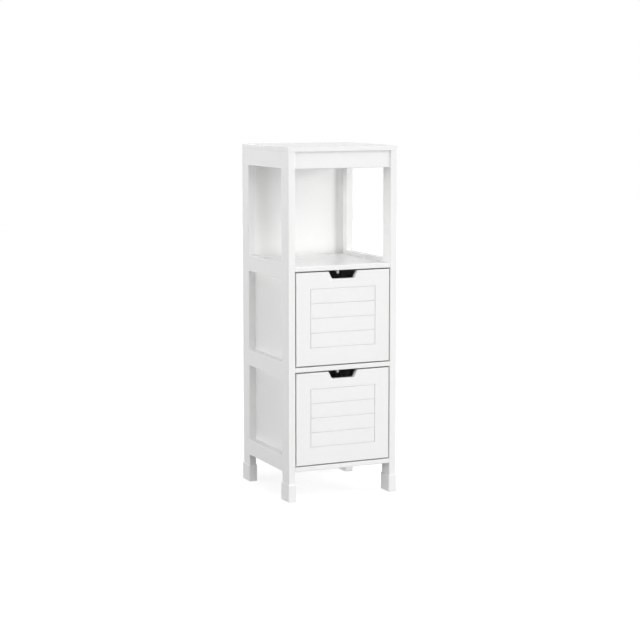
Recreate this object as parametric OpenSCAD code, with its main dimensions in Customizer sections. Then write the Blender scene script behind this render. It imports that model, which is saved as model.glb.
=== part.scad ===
// Narrow bathroom cabinet: an open compartment on top and two inset drawers below.
// Two glued side frames of posts and rails stand on plastic foot sleeves. Three boards,
// an apron and the top panel join the frames with dowels and cam fittings.
// Millimetres. +X is to the right, the front faces -Y and the floor is Z = 0.

/* [Overall size] */
// Width over the posts
cabinet_w = 300; // [280:1:400]
// Depth over the posts
cabinet_d = 300; // [270:1:400]
// Height from the floor to the top face
cabinet_h = 890; // [850:1:1000]

/* [Posts, rails and apron] */
// Thickness of the posts and side rails, across the cabinet
post_t = 18; // [16:0.5:24]
// Depth of each post, front to back
post_d = 42; // [38:1:50]
// Height of the side rails
rail_h = 42; // [38:1:48]
// Height of the bottom rails' top edge above the bottom board
bottom_rail_rise = 26; // [20:1:28]
// Height of the middle rails' top edge above the divider board
middle_rail_rise = 12; // [10:1:14]
// Height of the shelf rails' top edge above the shelf board
shelf_rail_rise = 9; // [6:1:12]
// Height of the apron under the top panel
apron_h = 42; // [36:1:60]
// Thickness of the apron
apron_t = 15; // [12:0.5:18]
// Distance of the apron's face behind the front of the posts
apron_set_back = 4; // [0:0.5:8]
// Width of the eased edges on posts, rails and boards
edge_ease = 0.8; // [0.2:0.1:1.2]

/* [Boards and panels] */
// Thickness of the top panel
top_t = 12; // [12:0.5:18]
// Thickness of the shelf, divider and bottom boards
board_t = 12; // [12:0.5:16]
// Height of the bottom board's underside above the floor
floor_clear = 76; // [70:1:110]
// Clear height of each drawer opening
opening_h = 241; // [220:1:260]
// Thickness of the side panels
side_panel_t = 3; // [2:0.5:5]
// Distance of the side panels' front edges behind the front of the posts
side_panel_inset = 22; // [16:1:34]
// Thickness of the back panel
back_panel_t = 3; // [2:0.5:5]
// Distance of the back panel's rear face in front of the rear of the posts
back_panel_inset = 15; // [8:1:18]
// Depth of the grooves in the back posts that hold the back panel
back_groove_depth = 6; // [4:0.5:9]

/* [Foot sleeves] */
// Height of a foot sleeve
sleeve_h = 44; // [30:1:55]
// Wall thickness of a foot sleeve
sleeve_wall = 2.2; // [1.5:0.1:3]
// Thickness of a foot sleeve's floor
sleeve_floor = 3; // [2:0.5:6]
// Chamfer round the lower edge of a foot sleeve
sleeve_chamfer = 1.5; // [0.5:0.1:1.9]

/* [Drawer fronts] */
// Thickness of a drawer front
front_t = 12; // [12:0.5:18]
// Gap between a drawer front and the opening, all round
front_gap = 3; // [1:0.5:4]
// Distance from a front's side edges to the centre of the routed frame
groove_side_margin = 39.5; // [30:0.5:60]
// Distance from a front's top edge to the centre of the routed frame
groove_top_margin = 42; // [36:0.5:60]
// Distance from a front's bottom edge to the centre of the routed frame
groove_bottom_margin = 45; // [30:0.5:60]
// Number of fields between the routed lines
groove_fields = 4; // [2:1:8]
// Width of a routed line
groove_w = 2; // [1.5:0.5:5]
// Depth of a routed line
groove_depth = 3; // [0.5:0.1:4]
// Width of the finger cut-out at the top edge
finger_top_w = 81; // [72:1:100]
// Width of the finger cut-out at its bottom
finger_bottom_w = 61; // [40:1:70]
// Depth of the finger cut-out below the top edge
finger_depth = 18.5; // [12:0.5:24]
// Corner radius at the bottom of the finger cut-out
finger_r = 4; // [1:0.5:6]

/* [Drawer boxes] */
// Thickness of the drawer sides
box_side_t = 12; // [12:0.5:15]
// Thickness of the drawer back
box_back_t = 12; // [12:0.5:15]
// Thickness of the drawer bottom
box_bottom_t = 3; // [2.5:0.5:5]
// Height of the drawer bottom's underside above the lower edge of the sides
box_bottom_rise = 10; // [6:1:20]
// Depth of the grooves that hold the drawer bottom
box_groove_depth = 5; // [3:0.5:7]
// Free height between the box and the board above it
box_top_clear = 8; // [5:1:10]
// Free width between a drawer side and the side panel next to it
box_side_clear = 1.5; // [1:0.5:3]
// Free depth between the drawer back and the back panel
box_rear_clear = 10; // [4:1:30]
// Running clearance between the drawer sides and the board they slide on
run_clear = 0.3; // [0.2:0.1:1]

/* [Drawer stops] */
// Diameter of a stop peg
stop_d = 8; // [8:0.5:14]
// Height of a stop peg under the board above the drawer
stop_h = 12; // [10:0.5:18]
// Distance of a stop peg's centre behind the front of the posts
stop_inset = 35; // [28:1:60]
// Part of a stop peg's screw that sits in the board
stop_screw_in = 8; // [6:0.5:10]

/* [Fittings] */
// Diameter of the dowels in the side frames
frame_dowel_d = 8; // [6:0.5:10]
// Length of the dowels in the side frames
frame_dowel_len = 30; // [26:1:40]
// Part of a frame dowel's length that sits in the post
frame_dowel_in_post = 12; // [8:1:14]
// Distance between the two dowels of a rail end
frame_dowel_pitch = 22; // [16:1:26]
// Diameter of the dowels in the boards
board_dowel_d = 6; // [5:0.5:8]
// Length of the dowels in the boards
board_dowel_len = 30; // [24:1:40]
// Part of a board dowel's length that sits in the rail, post or top panel
board_dowel_in = 10; // [8:0.5:10.5]
// Diameter of the cam bolts
bolt_d = 5; // [4:0.5:5.5]
// Part of a cam bolt's length that is screwed in
bolt_in = 10; // [8:0.5:10.5]
// Distance from a joint to the centre of its cam lock
cam_reach = 24; // [20:0.5:30]
// Diameter of a cam lock
cam_d = 12; // [10:0.5:14]
// Height of a cam lock
cam_h = 9.5; // [9:0.5:10]
// Depth of the bolt's axis below the face that a cam lock is set in
cam_axis_depth = 6; // [5:0.1:6]
// Distance from a rail's ends to the boards' cam fittings
cam_inset = 28; // [26:1:40]
// Distance between the top panel's dowels and the middle of the rails
top_dowel_y = 40; // [30:1:50]
// Distance between cam bolt and dowel at each end of the apron
apron_fixing_pitch = 20; // [16:1:24]
// Distance of a drawer's cam bolts from the upper and lower edges of its sides
drawer_bolt_edge = 36; // [24:1:60]
// Diameter of the screws in the drawer backs and stops
screw_d = 3.5; // [3:0.5:4]
// Length of the screws in the drawer backs
screw_len = 30; // [25:1:40]
// Diameter of a screw's head
screw_head_d = 7; // [6:0.5:8]
// Distance of the drawer back's screws from its upper and lower edges
screw_edge = 40; // [30:1:60]
// Diameter of the nails in the side panels
nail_d = 1.5; // [1:0.1:2]
// Length of the nails in the side panels
nail_len = 12; // [10:0.5:14]
// Diameter of a nail's head
nail_head_d = 3.5; // [3:0.1:4.5]
// Distance of the nails from the side panels' upper and lower edges
nail_edge = 6; // [4:0.5:8]
// Distance of the nails from the rails' ends
nail_inset = 44; // [42:1:60]

/* [Hidden] */
$fn = 48;

// Sides and ends of the cabinet, and the two drawers
left = -1;
right = 1;
front = -1;
back = 1;
lower = 0;
upper = 1;

// Clearances in holes and grooves
hole_play = 0.05;
hole_slack = 0.5;
sheet_play = 0.1;
sleeve_play = 0.1;
// Extra length by which a cut runs past the face it opens
over = 1;

// Main planes
inner_x = cabinet_w / 2 - post_t;
front_y = -cabinet_d / 2;
rail_len = cabinet_d - 2 * post_d;
back_panel_y = cabinet_d / 2 - back_panel_inset - back_panel_t;
board_depth = back_panel_y - front_y;
top_z = cabinet_h - top_t;

// Undersides of the boards and of the side rails
bottom_z = floor_clear;
divider_z = bottom_z + board_t + opening_h;
shelf_z = divider_z + board_t + opening_h;
bottom_rail_z = bottom_z + board_t + bottom_rail_rise - rail_h;
middle_rail_z = divider_z + board_t + middle_rail_rise - rail_h;
shelf_rail_z = shelf_z + board_t + shelf_rail_rise - rail_h;
top_rail_z = top_z - rail_h;

// Places of the fittings along the rails
cam_y = rail_len / 2 - cam_inset;
nail_y = rail_len / 2 - nail_inset;

// Drawer sizes that follow from the opening
front_w = 2 * (inner_x - front_gap);
front_h = opening_h - 2 * front_gap;
box_w = 2 * (inner_x - side_panel_t - box_side_clear);
box_inner_w = box_w - 2 * box_side_t;
box_h = opening_h - run_clear - box_top_clear;
box_front_y = front_y + front_t;
box_rear_y = back_panel_y - box_rear_clear;
box_depth = box_rear_y - box_front_y;
stop_screw_len = stop_h + stop_screw_in;

function opening_z(level) = bottom_z + board_t + level * (opening_h + board_t);
function box_z(level) = opening_z(level) + run_clear;

// Outline of a rectangle from [0, 0] to [a, b] with its corners cut off at 45 degrees.
// The four widths run anticlockwise from the corner at [0, 0].
function eased_outline(a, b, e1, e2, e3, e4) = concat(
    e1 > 0 ? [[0, e1], [e1, 0]] : [[0, 0]],
    e2 > 0 ? [[a - e2, 0], [a, e2]] : [[a, 0]],
    e3 > 0 ? [[a, b - e3], [a - e3, b]] : [[a, b]],
    e4 > 0 ? [[e4, b], [0, b - e4]] : [[0, b]]
);

// Children are drawn for the right side
module on_side(side) {
    if (side == left)
        mirror([1, 0, 0]) children();
    else
        children();
}

// Children are drawn for the back
module on_end(end) {
    if (end == front)
        mirror([0, 1, 0]) children();
    else
        children();
}

// Prism along X of an outline in Y and Z
module along_x(len, outline) {
    rotate([90, 0, 90]) linear_extrude(len) polygon(outline);
}

// Prism along Y of an outline in X and Z
module along_y(len, outline) {
    translate([0, len, 0]) rotate([90, 0, 0]) linear_extrude(len) polygon(outline);
}

// Round hole or rod along +X from the origin
module rod_x(r, len) {
    rotate([0, 90, 0]) cylinder(r = r, h = len);
}

// Dowel along X, with its joint plane at X = 0 and its shorter part on the +X side
module dowel(d, len, part) {
    chamfer = 1;
    translate([part - len, 0, 0])
    rotate([0, 90, 0])
    rotate_extrude()
    polygon([
        [0, 0], [d / 2 - chamfer, 0], [d / 2, chamfer],
        [d / 2, len - chamfer], [d / 2 - chamfer, len], [0, len]
    ]);
}

// Hole for one part of a dowel, along +X from the joint plane
module dowel_hole(d, part) {
    translate([-over, 0, 0]) rod_x(d / 2 + hole_play, part + hole_slack + over);
}

// Cam bolt along X: the screwed part is on the +X side of its joint plane
module cam_bolt() {
    head_len = 3;
    neck_len = 6;
    neck_d = bolt_d - 1.6;
    rod_x(bolt_d / 2, bolt_in);
    translate([head_len + neck_len - cam_reach, 0, 0])
        rod_x(bolt_d / 2, cam_reach - head_len - neck_len);
    translate([head_len - cam_reach, 0, 0]) rod_x(neck_d / 2, neck_len);
    translate([-cam_reach, 0, 0]) rod_x(bolt_d / 2, head_len);
}

// Hole for a cam bolt's screwed part
module bolt_hole() {
    translate([-over, 0, 0]) rod_x(bolt_d / 2 + hole_play, bolt_in + hole_slack + over);
}

// Cam lock at X = -cam_reach, its slotted face cam_axis_depth below the bolt
module cam_lock() {
    slot_w = 1.4;
    slot_depth = 1.8;
    pocket_r = bolt_d / 2 + 2 * hole_play;
    translate([-cam_reach, 0, -cam_axis_depth])
    difference() {
        cylinder(d = cam_d, h = cam_h);
        translate([-hole_slack, 0, cam_axis_depth]) rod_x(pocket_r, cam_d);
        for (turn = [0, 90])
            rotate(turn)
            translate([-cam_d / 3, -slot_w / 2, -over])
            cube([2 * cam_d / 3, slot_w, slot_depth + over]);
    }
}

// Holes for a cam lock and for the bolt that reaches it
module cam_hole() {
    translate([-cam_reach, 0, -cam_axis_depth - over])
        cylinder(r = cam_d / 2 + hole_play, h = cam_h + over + hole_play);
    translate([-cam_reach, 0, 0]) rod_x(bolt_d / 2 + hole_play, cam_reach + over);
}

// Countersunk screw down -Z from its head's face at Z = 0
module screw(len) {
    cone_h = (screw_head_d - screw_d) / 2;
    point_h = screw_d;
    slot_w = 0.9;
    slot_len = screw_head_d * 0.55;
    slot_depth = 1.2;
    difference() {
        rotate_extrude()
        polygon([
            [0, 0], [screw_head_d / 2, 0], [screw_d / 2, -cone_h],
            [screw_d / 2, point_h - len], [0, -len]
        ]);
        for (turn = [0, 90])
            rotate(turn)
            translate([-slot_len / 2, -slot_w / 2, -slot_depth])
            cube([slot_len, slot_w, slot_depth + over]);
    }
}

// Hole for a screw, with its countersink
module screw_hole(len) {
    cone_h = (screw_head_d - screw_d) / 2;
    shaft_r = screw_d / 2 + hole_play;
    translate([0, 0, -len - hole_slack]) cylinder(r = shaft_r, h = len + hole_slack);
    translate([0, 0, -cone_h - hole_play])
        cylinder(r1 = shaft_r, r2 = screw_head_d / 2 + hole_play, h = cone_h + hole_play);
    cylinder(r = screw_head_d / 2 + hole_play, h = over);
}

// Joint planes of the cam fittings between the boards and the rails
module at_board_cams(z) {
    for (side = [left, right], end = [front, back])
        on_side(side)
        translate([inner_x, end * cam_y, z + cam_axis_depth])
        children();
}

// Joint planes of the dowels between a board and the rails
module at_board_dowels(z) {
    for (side = [left, right])
        on_side(side)
        translate([inner_x, 0, z + board_t / 2])
        children();
}

// Joint planes of the cam fittings under the top panel
module at_top_cams() {
    for (side = [left, right], end = [front, back])
        on_side(side)
        translate([inner_x + cam_axis_depth, end * cam_y, top_z])
        rotate([180, -90, 0])
        children();
}

// Joint planes of the dowels under the top panel
module at_top_dowels() {
    for (side = [left, right], end = [front, back])
        on_side(side)
        translate([inner_x + post_t / 2, end * top_dowel_y, top_z])
        rotate([0, -90, 0])
        children();
}

// Joint planes of the cam fittings at the apron's ends
module at_apron_cams() {
    for (side = [left, right])
        on_side(side)
        translate([
            inner_x,
            front_y + apron_set_back + apron_t - cam_axis_depth,
            top_z - apron_h / 2 + apron_fixing_pitch / 2
        ])
        rotate([90, 0, 0])
        children();
}

// Joint planes of the dowels at the apron's ends
module at_apron_dowels() {
    for (side = [left, right])
        on_side(side)
        translate([
            inner_x,
            front_y + apron_set_back + apron_t / 2,
            top_z - apron_h / 2 - apron_fixing_pitch / 2
        ])
        children();
}

// Joint planes of the two dowels at each end of a rail, pointing into the posts
module at_rail_dowels(side, z) {
    for (end = [front, back], step = [-1, 1])
        on_side(side)
        on_end(end)
        translate([
            inner_x + post_t / 2,
            rail_len / 2,
            z + rail_h / 2 + step * frame_dowel_pitch / 2
        ])
        rotate([0, 0, 90])
        children();
}

// Nail heads on the inner face of a side panel, pointing into the rails
module at_nails(side, level) {
    for (end = [front, back], z = [nail_edge, opening_h - nail_edge])
        on_side(side)
        translate([inner_x - side_panel_t, end * nail_y, opening_z(level) + z])
        children();
}

// Places of the stop pegs on the underside of the board above each drawer
module at_stop(level) {
    translate([0, front_y + stop_inset, opening_z(level) + opening_h]) children();
}

// Joint planes of a drawer's cam fittings, pointing into its front
module at_drawer_cams(level) {
    for (side = [left, right], z = [drawer_bolt_edge, box_h - drawer_bolt_edge])
        on_side(side)
        translate([box_w / 2 - box_side_t + cam_axis_depth, box_front_y, box_z(level) + z])
        rotate([-90, 0, -90])
        children();
}

// Screw heads on the outer faces of a drawer's sides, pointing inwards
module at_drawer_screws(level) {
    for (side = [left, right], z = [screw_edge, box_h - screw_edge])
        on_side(side)
        translate([box_w / 2, box_rear_y - box_back_t / 2, box_z(level) + z])
        rotate([0, 90, 0])
        children();
}

// Top panel: white board with every edge eased, dowelled and cammed to the side frames
module top_panel() {
    e = edge_ease;
    color("white")
    difference() {
        translate([-cabinet_w / 2, front_y, top_z])
        intersection() {
            linear_extrude(top_t) polygon(eased_outline(cabinet_w, cabinet_d, e, e, e, e));
            along_x(cabinet_w, eased_outline(cabinet_d, top_t, e / 2, e / 2, e, e));
            along_y(cabinet_d, eased_outline(cabinet_w, top_t, e / 2, e / 2, e, e));
        }
        at_top_cams() bolt_hole();
        at_top_dowels() dowel_hole(board_dowel_d, board_dowel_in);
    }
}

// Front apron: board on edge between the front posts, a little behind their faces
module front_apron() {
    color("white")
    difference() {
        translate([-inner_x, front_y + apron_set_back, top_z - apron_h])
            along_x(2 * inner_x, eased_outline(apron_t, apron_h, edge_ease, edge_ease, 0, 0));
        at_apron_cams() cam_hole();
        at_apron_dowels() rotate([0, 0, 180])
            dowel_hole(board_dowel_d, board_dowel_len - board_dowel_in);
    }
}

// Post: runs from the foot sleeve's floor to the top panel
module post(side, end) {
    color("white")
    difference() {
        on_side(side)
        on_end(end)
        translate([inner_x, cabinet_d / 2 - post_d, sleeve_floor])
        linear_extrude(top_z - sleeve_floor)
        polygon(eased_outline(post_t, post_d, 0, 0, edge_ease, edge_ease));
        for (z = [bottom_rail_z, middle_rail_z, shelf_rail_z, top_rail_z])
            at_rail_dowels(side, z) dowel_hole(frame_dowel_d, frame_dowel_in_post);
        if (end == front) {
            at_apron_cams() bolt_hole();
            at_apron_dowels() dowel_hole(board_dowel_d, board_dowel_in);
        }
        if (end == back)
            on_side(side)
            translate([inner_x - over, back_panel_y - sheet_play, floor_clear])
            cube([
                back_groove_depth + over,
                back_panel_t + 2 * sheet_play,
                top_z - floor_clear + over
            ]);
    }
}

// Blank of a side rail: its outer lower edge is eased, and its outer upper edge by top_ease
module rail_blank(side, z, top_ease) {
    on_side(side)
    translate([inner_x, -rail_len / 2, z])
    along_y(rail_len, eased_outline(post_t, rail_h, 0, edge_ease, top_ease, 0));
}

// Side rail that carries a board, with pilot holes for the side panels' nails
module board_rail(side, z, board_z) {
    color("white")
    difference() {
        rail_blank(side, z, edge_ease);
        at_rail_dowels(side, z) rotate([0, 0, 180])
            dowel_hole(frame_dowel_d, frame_dowel_len - frame_dowel_in_post);
        at_board_cams(board_z) bolt_hole();
        at_board_dowels(board_z) dowel_hole(board_dowel_d, board_dowel_in);
        for (level = [lower, upper])
            at_nails(side, level) rod_x(nail_d / 2 + hole_play, nail_len + hole_slack);
    }
}

// Top side rail: holds the top panel's cam locks and dowels
module top_rail(side) {
    color("white")
    difference() {
        rail_blank(side, top_rail_z, 0);
        at_rail_dowels(side, top_rail_z) rotate([0, 0, 180])
            dowel_hole(frame_dowel_d, frame_dowel_len - frame_dowel_in_post);
        at_top_cams() cam_hole();
        at_top_dowels() rotate([0, 0, 180])
            dowel_hole(board_dowel_d, board_dowel_len - board_dowel_in);
    }
}

// Side panel: thin sheet against the inner faces of posts and rails, between two boards
module side_panel(side, level) {
    head_sink = 0.7;
    color("white")
    difference() {
        on_side(side)
        translate([inner_x - side_panel_t, front_y + side_panel_inset, opening_z(level)])
        cube([side_panel_t, board_depth - side_panel_inset, opening_h]);
        at_nails(side, level) {
            translate([-over, 0, 0]) rod_x(nail_d / 2 + hole_play, side_panel_t + 2 * over);
            translate([-over, 0, 0]) rod_x(nail_head_d / 2 + hole_play, head_sink + over);
        }
    }
}

// Nails of all four side panels, their heads sunk flush
module panel_nails() {
    head_h = 0.6;
    color("silver")
    for (side = [left, right], level = [lower, upper])
        at_nails(side, level) {
            translate([hole_play, 0, 0]) rod_x(nail_head_d / 2, head_h);
            translate([hole_play, 0, 0]) rod_x(nail_d / 2, nail_len);
        }
}

// Back panel: one sheet that slides down in the back posts' grooves behind the boards
module back_panel() {
    half_w = inner_x + back_groove_depth - hole_slack;
    color("white")
    translate([-half_w, back_panel_y, floor_clear])
    cube([2 * half_w, back_panel_t, top_z - floor_clear]);
}

// Shelf, divider or bottom board, flush with the posts in front
module board(z, stop_level) {
    color("white")
    difference() {
        translate([-inner_x, front_y, z])
            along_x(2 * inner_x, eased_outline(board_depth, board_t, edge_ease, 0, 0, edge_ease));
        at_board_cams(z) cam_hole();
        at_board_dowels(z) rotate([0, 0, 180])
            dowel_hole(board_dowel_d, board_dowel_len - board_dowel_in);
        if (stop_level >= lower)
            at_stop(stop_level)
            translate([0, 0, -stop_h])
            mirror([0, 0, 1])
            screw_hole(stop_screw_len);
    }
}

// Foot sleeve: moulded cup that is pushed over a post's foot
module foot_sleeve(side, end) {
    proud = sleeve_wall + sleeve_play;
    w = post_t + 2 * proud;
    d = post_d + 2 * proud;
    rim = edge_ease;
    color("whitesmoke")
    on_side(side)
    on_end(end)
    translate([inner_x - proud, cabinet_d / 2 - post_d - proud, 0])
    difference() {
        intersection() {
            linear_extrude(sleeve_h) rounded_plan(w, d, sleeve_wall);
            along_x(w, eased_outline(d, sleeve_h, sleeve_chamfer, sleeve_chamfer, rim, rim));
            along_y(d, eased_outline(w, sleeve_h, sleeve_chamfer, sleeve_chamfer, rim, rim));
        }
        translate([sleeve_wall, sleeve_wall, sleeve_floor])
            cube([w - 2 * sleeve_wall, d - 2 * sleeve_wall, sleeve_h]);
    }
}

// Rectangle from [0, 0] to [w, d] with round corners
module rounded_plan(w, d, r) {
    translate([r, 0]) square([w - 2 * r, d]);
    translate([0, r]) square([w, d - 2 * r]);
    for (x = [r, w - r], y = [r, d - r])
        translate([x, y]) circle(r);
}

// Dowels of the glued side frames, two at each rail end
module frame_dowels() {
    color("burlywood")
    for (side = [left, right], z = [bottom_rail_z, middle_rail_z, shelf_rail_z, top_rail_z])
        at_rail_dowels(side, z)
        dowel(frame_dowel_d, frame_dowel_len, frame_dowel_in_post);
}

// Dowels that join the boards, the apron and the top panel to the side frames
module board_dowels() {
    color("burlywood") {
        for (z = [bottom_z, divider_z, shelf_z])
            at_board_dowels(z) dowel(board_dowel_d, board_dowel_len, board_dowel_in);
        at_apron_dowels() dowel(board_dowel_d, board_dowel_len, board_dowel_in);
        at_top_dowels() dowel(board_dowel_d, board_dowel_len, board_dowel_in);
    }
}

// Cam bolts of the boards, the apron and the top panel
module cam_bolts() {
    color("silver") {
        for (z = [bottom_z, divider_z, shelf_z])
            at_board_cams(z) cam_bolt();
        at_apron_cams() cam_bolt();
        at_top_cams() cam_bolt();
    }
}

// Cam locks of the boards, the apron and the top panel
module cam_locks() {
    color("silver") {
        for (z = [bottom_z, divider_z, shelf_z])
            at_board_cams(z) cam_lock();
        at_apron_cams() cam_lock();
        at_top_cams() cam_lock();
    }
}

// Stop pegs: each catches the back of the drawer under it
module drawer_stops() {
    color("white")
    for (level = [lower, upper])
        at_stop(level)
        difference() {
            translate([0, 0, -stop_h]) cylinder(d = stop_d, h = stop_h);
            translate([0, 0, -stop_h]) mirror([0, 0, 1]) screw_hole(stop_screw_len);
        }
}

// Screws that hold the stop pegs to the boards above
module drawer_stop_screws() {
    color("silver")
    for (level = [lower, upper])
        at_stop(level)
        translate([0, 0, -stop_h])
        mirror([0, 0, 1])
        screw(stop_screw_len);
}

// Routed V line along X, cut square at both ends
module v_line(len) {
    along_x(len, [
        [-over, -groove_w / 2 * (1 + over / groove_depth)],
        [groove_depth, 0],
        [-over, groove_w / 2 * (1 + over / groove_depth)]
    ]);
}

// One side of the routed frame: a V line from -run to run, its ends mitred to the outside
module mitred_line(run) {
    g = groove_w / 2;
    intersection() {
        translate([-run - g, 0, 0]) v_line(2 * (run + g));
        translate([0, -over, 0]) along_y(groove_depth + 2 * over, [
            [-run - g, g], [-run + g, -g], [run - g, -g], [run + g, g]
        ]);
    }
}

// Routed frame and the lines across it, centred on X, with Z = 0 at the front's lower edge
module routed_lines() {
    half_w = front_w / 2 - groove_side_margin;
    low_z = groove_bottom_margin;
    high_z = front_h - groove_top_margin;
    mid_z = (low_z + high_z) / 2;
    half_h = (high_z - low_z) / 2;
    pitch = (high_z - low_z) / groove_fields;
    for (turn = [0, 180])
        translate([0, 0, mid_z]) rotate([0, turn, 0]) {
            translate([0, 0, half_h]) mitred_line(half_w);
            rotate([0, 90, 0]) translate([0, 0, half_w]) mitred_line(half_h);
        }
    for (i = [1 : groove_fields - 1])
        translate([-half_w, 0, low_z + i * pitch]) v_line(2 * half_w);
}

// Outline of the finger cut-out in X and Z, its bottom at Z = 0
module finger_outline() {
    slope = (finger_top_w - finger_bottom_w) / 2 / finger_depth;
    lean = atan(slope);
    tangent = finger_r / tan(45 + lean / 2);
    low_x = finger_bottom_w / 2 - tangent;
    side_x = finger_bottom_w / 2 + tangent * sin(lean);
    side_z = tangent * cos(lean);
    high_x = finger_top_w / 2 + slope * over;
    high_z = finger_depth + over;
    polygon([
        [-low_x, 0], [low_x, 0], [side_x, side_z], [high_x, high_z],
        [-high_x, high_z], [-side_x, side_z]
    ]);
    for (x = [-low_x, low_x])
        translate([x, finger_r]) circle(finger_r);
}

// Drawer front: eased all round, with routed lines, finger cut-out and bottom groove
module drawer_front(level) {
    e = edge_ease;
    groove_half_w = box_inner_w / 2 + box_groove_depth;
    color("white")
    difference() {
        translate([-front_w / 2, front_y, opening_z(level) + front_gap])
        intersection() {
            linear_extrude(front_h) polygon(eased_outline(front_w, front_t, e, e, 0, 0));
            along_x(front_w, eased_outline(front_t, front_h, e, 0, 0, e));
        }
        translate([0, front_y, opening_z(level) + front_gap]) routed_lines();
        translate([0, front_y + front_t + over, opening_z(level) + front_gap + front_h - finger_depth])
            rotate([90, 0, 0])
            linear_extrude(front_t + 2 * over)
            finger_outline();
        translate([-groove_half_w, box_front_y - box_groove_depth, box_z(level) + box_bottom_rise])
            cube([2 * groove_half_w, box_groove_depth + over, box_bottom_t + sheet_play]);
        at_drawer_cams(level) bolt_hole();
    }
}

// Drawer side: runs from the front's rear face past the drawer back
module drawer_side(side, level) {
    color("white")
    difference() {
        on_side(side)
        translate([box_w / 2 - box_side_t, box_front_y, box_z(level)])
        difference() {
            along_y(box_depth, eased_outline(box_side_t, box_h, 0, 0, edge_ease, edge_ease));
            translate([-over, -over, box_bottom_rise])
                cube([
                    box_groove_depth + over,
                    box_depth - box_back_t + box_groove_depth + over,
                    box_bottom_t + sheet_play
                ]);
        }
        at_drawer_cams(level) cam_hole();
        at_drawer_screws(level) screw_hole(screw_len);
    }
}

// Drawer back: stands between the sides, and meets the stop peg when the drawer is out
module drawer_back(level) {
    color("white")
    difference() {
        translate([-box_inner_w / 2, box_rear_y - box_back_t, box_z(level)])
        difference() {
            along_x(box_inner_w, eased_outline(box_back_t, box_h, 0, 0, edge_ease, edge_ease));
            translate([-over, -over, box_bottom_rise])
                cube([
                    box_inner_w + 2 * over,
                    box_groove_depth + over,
                    box_bottom_t + sheet_play
                ]);
        }
        at_drawer_screws(level) screw_hole(screw_len);
    }
}

// Drawer bottom: thin sheet in the grooves of the front, the sides and the back
module drawer_bottom(level) {
    reach = box_groove_depth - hole_slack;
    color("white")
    translate([-box_inner_w / 2 - reach, box_front_y - reach, box_z(level) + box_bottom_rise])
    cube([
        box_inner_w + 2 * reach,
        box_depth - box_back_t + 2 * reach,
        box_bottom_t
    ]);
}

// Cam bolts between a drawer's front and sides
module drawer_cam_bolts(level) {
    color("silver") at_drawer_cams(level) cam_bolt();
}

// Cam locks between a drawer's front and sides
module drawer_cam_locks(level) {
    color("silver") at_drawer_cams(level) cam_lock();
}

// Screws through a drawer's sides into its back
module drawer_screws(level) {
    color("silver") at_drawer_screws(level) screw(screw_len);
}

top_panel();
front_apron();
post(left, front);  // post_front_left
post(right, front);  // post_front_right
post(left, back);  // post_back_left
post(right, back);  // post_back_right
top_rail(left);  // rail_top_left
top_rail(right);  // rail_top_right
board_rail(left, shelf_rail_z, shelf_z);  // rail_shelf_left
board_rail(right, shelf_rail_z, shelf_z);  // rail_shelf_right
board_rail(left, middle_rail_z, divider_z);  // rail_middle_left
board_rail(right, middle_rail_z, divider_z);  // rail_middle_right
board_rail(left, bottom_rail_z, bottom_z);  // rail_bottom_left
board_rail(right, bottom_rail_z, bottom_z);  // rail_bottom_right
side_panel(left, upper);  // side_panel_upper_left
side_panel(right, upper);  // side_panel_upper_right
side_panel(left, lower);  // side_panel_lower_left
side_panel(right, lower);  // side_panel_lower_right
back_panel();
board(shelf_z, upper);  // shelf_board
board(divider_z, lower);  // divider_board
board(bottom_z, -1);  // bottom_board
foot_sleeve(left, front);  // foot_sleeve_front_left
foot_sleeve(right, front);  // foot_sleeve_front_right
foot_sleeve(left, back);  // foot_sleeve_back_left
foot_sleeve(right, back);  // foot_sleeve_back_right
frame_dowels();
board_dowels();
cam_bolts();
cam_locks();
panel_nails();
drawer_stops();
drawer_stop_screws();
drawer_front(upper);  // upper_drawer_front
drawer_side(left, upper);  // upper_drawer_side_left
drawer_side(right, upper);  // upper_drawer_side_right
drawer_back(upper);  // upper_drawer_back
drawer_bottom(upper);  // upper_drawer_bottom
drawer_cam_bolts(upper);  // upper_drawer_cam_bolts
drawer_cam_locks(upper);  // upper_drawer_cam_locks
drawer_screws(upper);  // upper_drawer_screws
drawer_front(lower);  // lower_drawer_front
drawer_side(left, lower);  // lower_drawer_side_left
drawer_side(right, lower);  // lower_drawer_side_right
drawer_back(lower);  // lower_drawer_back
drawer_bottom(lower);  // lower_drawer_bottom
drawer_cam_bolts(lower);  // lower_drawer_cam_bolts
drawer_cam_locks(lower);  // lower_drawer_cam_locks
drawer_screws(lower);  // lower_drawer_screws
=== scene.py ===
from math import atan, cos, pi, radians, sin, tan

import bmesh
import bpy
from mathutils import Matrix, Vector


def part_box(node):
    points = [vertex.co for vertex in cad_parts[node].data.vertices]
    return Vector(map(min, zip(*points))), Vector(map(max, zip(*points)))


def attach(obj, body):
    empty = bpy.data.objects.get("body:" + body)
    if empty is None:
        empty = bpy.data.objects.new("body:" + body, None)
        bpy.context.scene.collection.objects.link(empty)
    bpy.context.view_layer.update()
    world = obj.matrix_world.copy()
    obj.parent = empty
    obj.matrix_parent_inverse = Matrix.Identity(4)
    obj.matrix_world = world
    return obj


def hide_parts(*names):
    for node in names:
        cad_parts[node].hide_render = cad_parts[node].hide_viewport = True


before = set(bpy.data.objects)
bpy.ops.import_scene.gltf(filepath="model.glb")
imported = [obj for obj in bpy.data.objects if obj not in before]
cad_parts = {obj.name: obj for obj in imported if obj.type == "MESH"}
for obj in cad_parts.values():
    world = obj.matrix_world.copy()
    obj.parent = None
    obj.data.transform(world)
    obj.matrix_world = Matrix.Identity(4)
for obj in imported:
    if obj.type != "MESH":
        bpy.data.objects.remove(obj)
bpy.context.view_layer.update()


# Posts. Four uprights sawn from 18 mm fibreboard, 42 mm deep, with their long outer edges
# eased. Each side frame is glued up and sanded, and then sprayed with white satin lacquer.
post_rounding = 0.00035
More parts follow.
